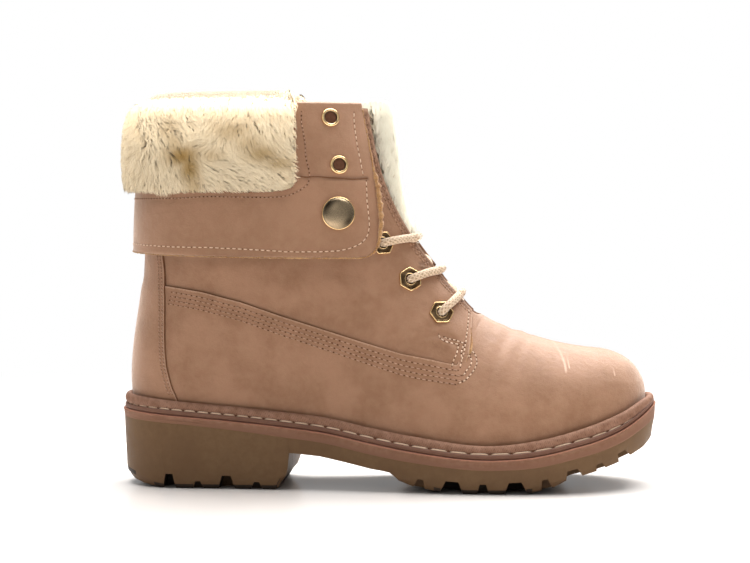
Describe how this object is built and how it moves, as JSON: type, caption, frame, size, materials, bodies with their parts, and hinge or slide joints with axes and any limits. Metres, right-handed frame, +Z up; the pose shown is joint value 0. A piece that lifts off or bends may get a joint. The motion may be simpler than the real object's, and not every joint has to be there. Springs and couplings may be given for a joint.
{
  "type": "fold-down lace-up ankle boot",
  "caption": "Right-foot lace-up ankle boot in soft leather with a fur-lined collar folded down and snapped, on a lugged block-heel sole.",
  "frame": {"origin": "on the floor, under the middle of the boot's length and width", "axes": "+X to the toe, +Y to the inner (medial) side, +Z up"},
  "size_m": [0.2797, 0.1012, 0.2012],
  "materials": {
    "upper_leather": "matt nubuck leather, dusty rose tan",
    "sole_rubber": "matt olive-brown rubber",
    "midsole_rubber": "satin red-brown rubber strip",
    "welt_rubber": "satin grey-brown moulded welt",
    "lining_fur": "cream pile lining",
    "gold_metal": "pale gold plate",
    "lace_cord": "woven round cord"
  },
  "bodies": {
    "root": {"outsole": "sole_rubber", "midsole": "midsole_rubber", "welt": "welt_rubber", "insole": "lining_fur", "upper": "upper_leather", "tongue": "upper_leather", "tongue_fur": "lining_fur", "cuff": "upper_leather", "cuff_fur": "lining_fur", "hex_eyelet_lateral_1": "gold_metal", "hex_eyelet_lateral_2": "gold_metal", "hex_eyelet_lateral_3": "gold_metal", "hex_eyelet_medial_1": "gold_metal", "hex_eyelet_medial_2": "gold_metal", "hex_eyelet_medial_3": "gold_metal", "round_eyelet_lateral_1": "gold_metal", "round_eyelet_lateral_2": "gold_metal", "round_eyelet_medial_1": "gold_metal", "round_eyelet_medial_2": "gold_metal", "snap_lateral": "gold_metal", "snap_medial": "gold_metal", "lace_cross_upper": "lace_cord", "lace_cross_lower": "lace_cord", "lace_bottom_bar": "lace_cord"}
  },
  "joints": []
}
